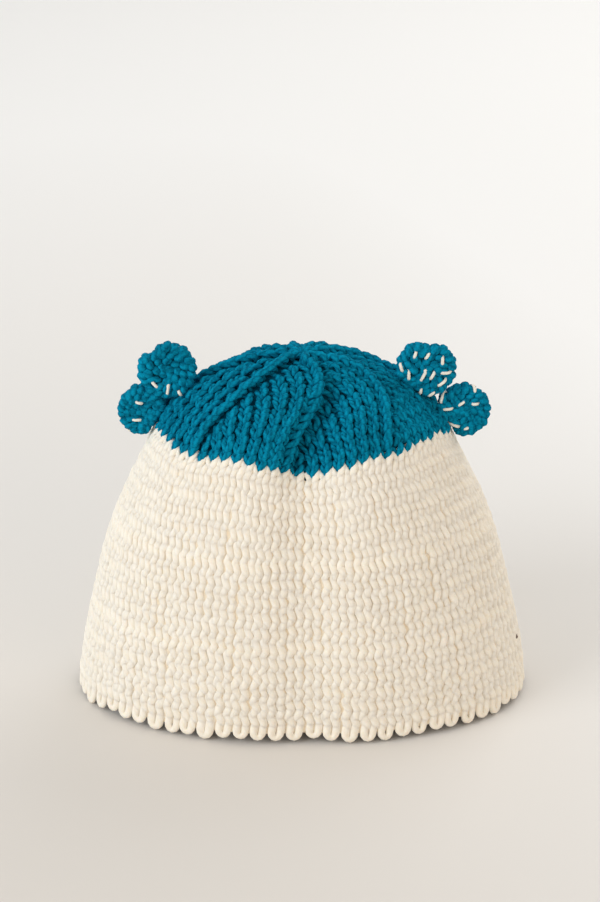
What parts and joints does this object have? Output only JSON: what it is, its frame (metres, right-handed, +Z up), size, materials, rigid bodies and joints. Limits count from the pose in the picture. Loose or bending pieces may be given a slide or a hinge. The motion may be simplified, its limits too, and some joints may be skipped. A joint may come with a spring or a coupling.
{
  "type": "baby hat",
  "caption": "Knitted baby hat with a cream body, a teal gathered crown and two crocheted teal petals at each side.",
  "frame": {"origin": "middle of the hat's box, on the surface that the hem rests on", "axes": "+Z up to the crown, -Y to the front, +X to the side of the right petals as seen from the front"},
  "size_m": [0.1616, 0.0916, 0.132],
  "materials": {
    "cream_yarn": "matt cotton yarn, stockinette",
    "teal_yarn": "matt cotton yarn, stockinette and crochet"
  },
  "bodies": {
    "root": {"body": "cream_yarn", "crown": "teal_yarn", "left_upper_petal": "teal_yarn", "left_lower_petal": "teal_yarn", "right_upper_petal": "teal_yarn", "right_lower_petal": "teal_yarn"}
  },
  "joints": []
}
